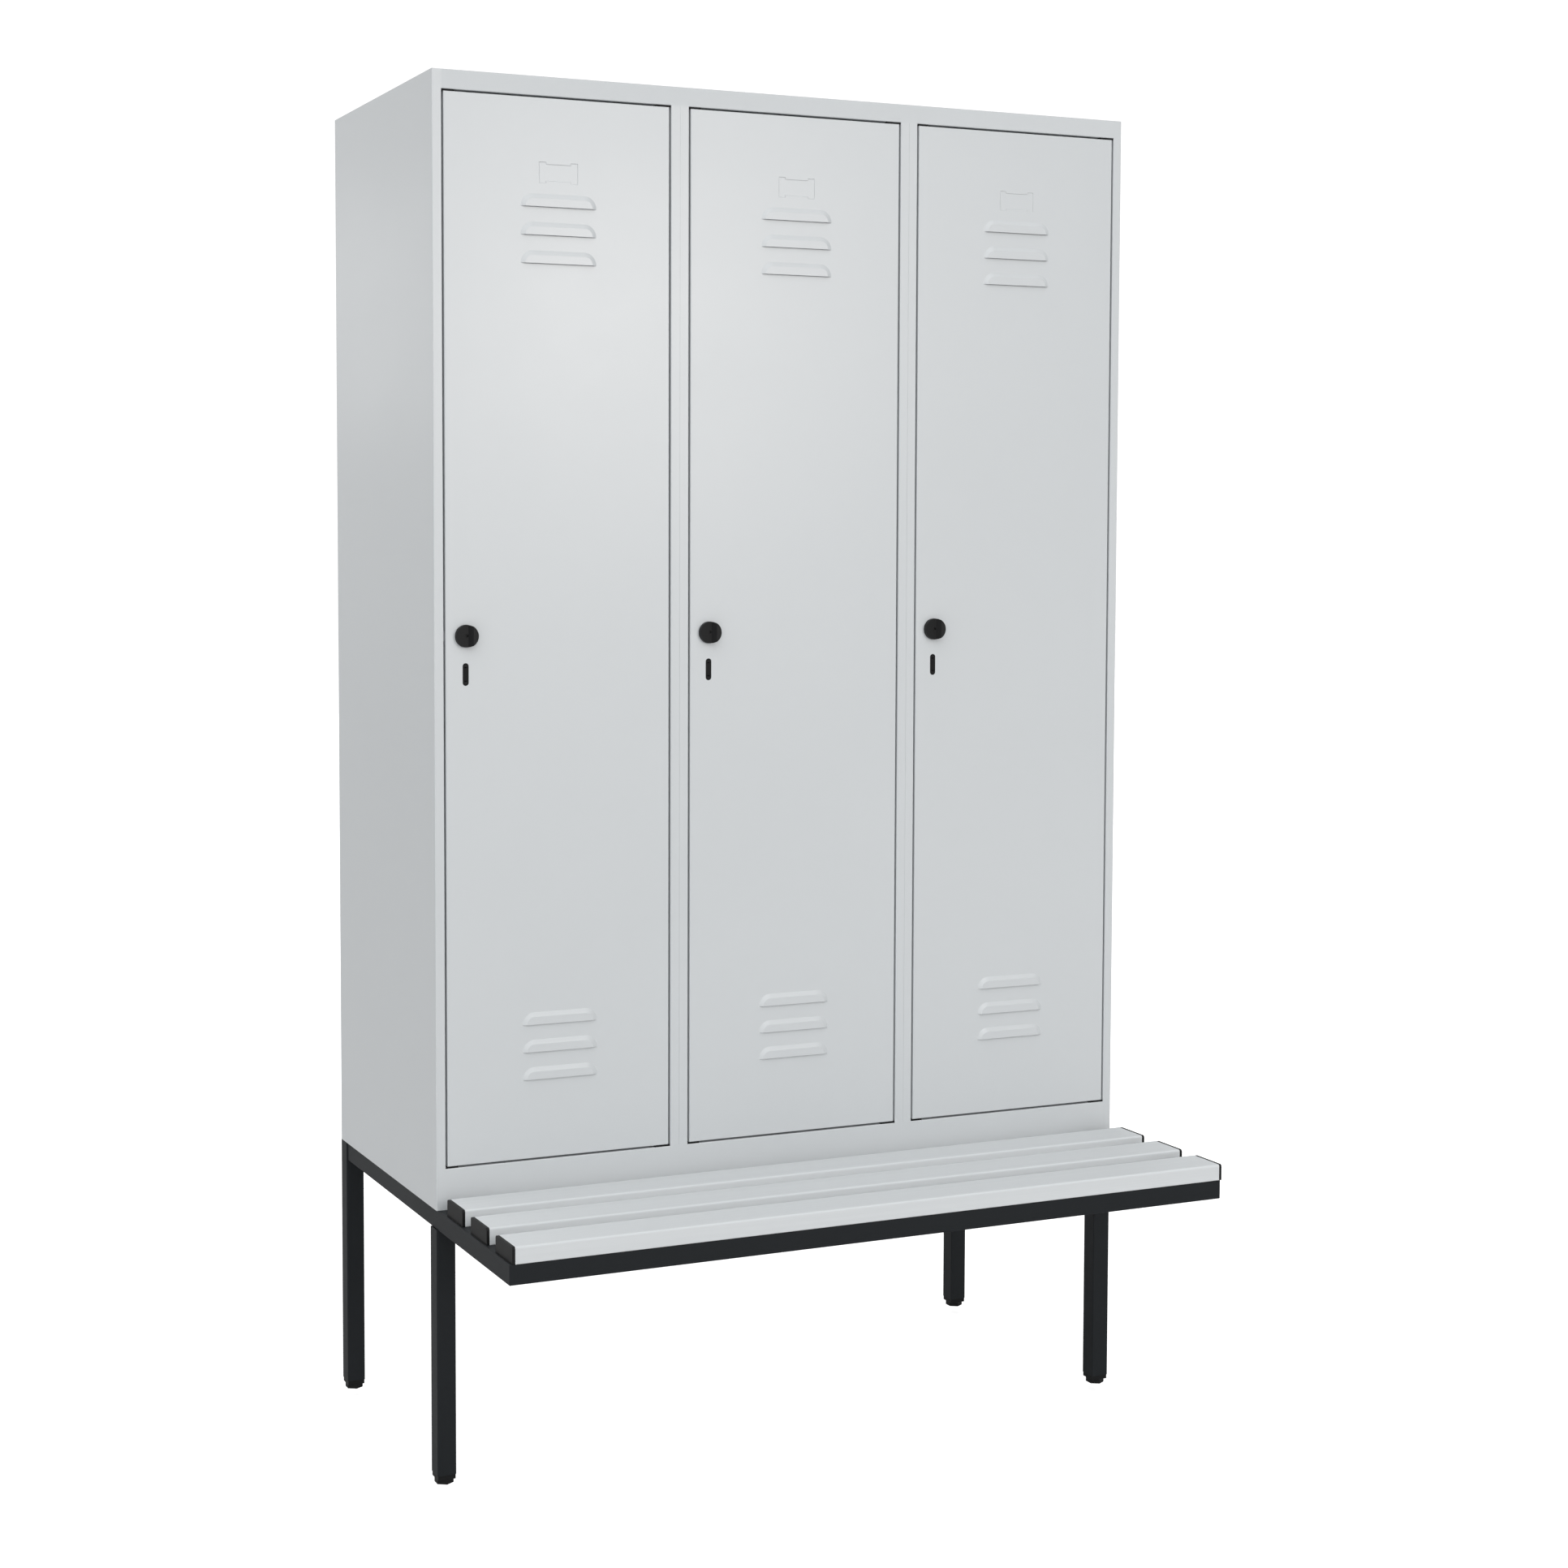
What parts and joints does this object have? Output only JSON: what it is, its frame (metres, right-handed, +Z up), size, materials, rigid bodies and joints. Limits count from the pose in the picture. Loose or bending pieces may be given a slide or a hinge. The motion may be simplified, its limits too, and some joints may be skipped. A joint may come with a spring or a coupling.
{
  "type": "mudroom locker unit",
  "caption": "Tall steel locker with louvred hinged doors, turn-knob locks and compartments, on a square-tube base that carries a slatted bench seat in front.",
  "frame": {"origin": "on the floor, under the middle of the whole unit's box", "axes": "+X to the right seen from the front, -Y to the front where the bench is, +Z up"},
  "size_m": [1.2, 0.81, 2.123],
  "materials": {
    "cabinet_paint": "smooth satin powder coat, light grey",
    "frame_paint": "satin powder coat, black",
    "slat_plastic": "smooth light grey plastic",
    "black_plastic": "fine-grained black plastic",
    "zinc_steel": "zinc-plated steel",
    "black_steel": "black-coated steel"
  },
  "bodies": {
    "carcass": {"side_panel_left": "cabinet_paint", "side_panel_right": "cabinet_paint", "partition_left": "cabinet_paint", "partition_right": "cabinet_paint", "back_panel": "cabinet_paint", "top_panel": "cabinet_paint", "floor_panel": "cabinet_paint", "hat_shelf_left": "cabinet_paint", "coat_rail_left": "zinc_steel", "hat_shelf_middle": "cabinet_paint", "coat_rail_middle": "zinc_steel", "hat_shelf_right": "cabinet_paint", "coat_rail_right": "zinc_steel", "hinge_bearings": "black_plastic", "door_buffers": "black_plastic", "leg_inserts": "black_plastic", "side_rail_left": "frame_paint", "side_rail_right": "frame_paint", "rear_rail": "frame_paint", "middle_rail": "frame_paint", "bench_front_rail": "frame_paint", "leg_front_left": "frame_paint", "leg_front_right": "frame_paint", "leg_back_left": "frame_paint", "leg_back_right": "frame_paint", "slat_front": "slat_plastic", "slat_middle": "slat_plastic", "slat_rear": "slat_plastic", "slat_end_caps": "black_plastic", "slat_screws": "zinc_steel", "cabinet_bolts": "zinc_steel"},
    "door_left": {"door_panel_left": "cabinet_paint", "door_stiffener_left": "cabinet_paint", "hinge_pins_left": "zinc_steel", "lock_case_left": "black_plastic"},
    "knob_left": {"knob_left": "black_plastic"},
    "latch_left": {"latch_bolt_left": "zinc_steel"},
    "staple_left": {"staple_left": "black_steel"},
    "hook_left": {"coat_hook_left": "black_plastic"},
    "door_middle": {"door_panel_middle": "cabinet_paint", "door_stiffener_middle": "cabinet_paint", "hinge_pins_middle": "zinc_steel", "lock_case_middle": "black_plastic"},
    "knob_middle": {"knob_middle": "black_plastic"},
    "latch_middle": {"latch_bolt_middle": "zinc_steel"},
    "staple_middle": {"staple_middle": "black_steel"},
    "hook_middle": {"coat_hook_middle": "black_plastic"},
    "door_right": {"door_panel_right": "cabinet_paint", "door_stiffener_right": "cabinet_paint", "hinge_pins_right": "zinc_steel", "lock_case_right": "black_plastic"},
    "knob_right": {"knob_right": "black_plastic"},
    "latch_right": {"latch_bolt_right": "zinc_steel"},
    "staple_right": {"staple_right": "black_steel"},
    "hook_right": {"coat_hook_right": "black_plastic"},
    "foot_front_left": {"levelling_foot_front_left": "black_plastic"},
    "foot_front_right": {"levelling_foot_front_right": "black_plastic"},
    "foot_back_left": {"levelling_foot_back_left": "black_plastic"},
    "foot_back_right": {"levelling_foot_back_right": "black_plastic"}
  },
  "joints": [
    {"name": "door_left_hinge", "type": "hinge", "parent": "carcass", "child": "door_left", "pos_m": [-0.23, -0.088, 0.4885], "axis": [0, 0, 1], "range_deg": [0, 110]},
    {"name": "knob_left_turn", "type": "hinge", "parent": "door_left", "child": "knob_left", "pos_m": [-0.5505, -0.095, 1.2885], "axis": [0, -1, 0], "range_deg": [0, 90]},
    {"name": "staple_left_slide", "type": "slide", "parent": "door_left", "child": "staple_left", "axis": [0, -1, 0], "range_m": [0, 0.016]},
    {"name": "latch_left_slide", "type": "slide", "parent": "door_left", "child": "latch_left", "axis": [-1, 0, 0], "range_m": [0, 0.01]},
    {"name": "hook_left_slide", "type": "slide", "parent": "carcass", "child": "hook_left", "axis": [1, 0, 0], "range_m": [-0.184, 0.184]},
    {"name": "door_middle_hinge", "type": "hinge", "parent": "carcass", "child": "door_middle", "pos_m": [0.17, -0.088, 0.4885], "axis": [0, 0, 1], "range_deg": [0, 110]},
    {"name": "knob_middle_turn", "type": "hinge", "parent": "door_middle", "child": "knob_middle", "pos_m": [-0.1505, -0.095, 1.2885], "axis": [0, -1, 0], "range_deg": [0, 90]},
    {"name": "staple_middle_slide", "type": "slide", "parent": "door_middle", "child": "staple_middle", "axis": [0, -1, 0], "range_m": [0, 0.016]},
    {"name": "latch_middle_slide", "type": "slide", "parent": "door_middle", "child": "latch_middle", "axis": [-1, 0, 0], "range_m": [0, 0.01]},
    {"name": "hook_middle_slide", "type": "slide", "parent": "carcass", "child": "hook_middle", "axis": [1, 0, 0], "range_m": [-0.184, 0.184]},
    {"name": "door_right_hinge", "type": "hinge", "parent": "carcass", "child": "door_right", "pos_m": [0.57, -0.088, 0.4885], "axis": [0, 0, 1], "range_deg": [0, 110]},
    {"name": "knob_right_turn", "type": "hinge", "parent": "door_right", "child": "knob_right", "pos_m": [0.2495, -0.095, 1.2885], "axis": [0, -1, 0], "range_deg": [0, 90]},
    {"name": "staple_right_slide", "type": "slide", "parent": "door_right", "child": "staple_right", "axis": [0, -1, 0], "range_m": [0, 0.016]},
    {"name": "latch_right_slide", "type": "slide", "parent": "door_right", "child": "latch_right", "axis": [-1, 0, 0], "range_m": [0, 0.01]},
    {"name": "hook_right_slide", "type": "slide", "parent": "carcass", "child": "hook_right", "axis": [1, 0, 0], "range_m": [-0.184, 0.184]},
    {"name": "foot_front_left_screw", "type": "slide", "parent": "carcass", "child": "foot_front_left", "axis": [0, 0, -1], "range_m": [0, 0.015]},
    {"name": "foot_front_right_screw", "type": "slide", "parent": "carcass", "child": "foot_front_right", "axis": [0, 0, -1], "range_m": [0, 0.015]},
    {"name": "foot_back_left_screw", "type": "slide", "parent": "carcass", "child": "foot_back_left", "axis": [0, 0, -1], "range_m": [0, 0.015]},
    {"name": "foot_back_right_screw", "type": "slide", "parent": "carcass", "child": "foot_back_right", "axis": [0, 0, -1], "range_m": [0, 0.015]}
  ],
  "couplings": [
    {"joint": "latch_left_slide", "follows": "knob_left_turn", "m_per_rad": 0.0063662},
    {"joint": "staple_left_slide", "follows": "knob_left_turn", "m_per_rad": 0.010186},
    {"joint": "latch_middle_slide", "follows": "knob_middle_turn", "m_per_rad": 0.0063662},
    {"joint": "staple_middle_slide", "follows": "knob_middle_turn", "m_per_rad": 0.010186},
    {"joint": "latch_right_slide", "follows": "knob_right_turn", "m_per_rad": 0.0063662},
    {"joint": "staple_right_slide", "follows": "knob_right_turn", "m_per_rad": 0.010186}
  ]
}
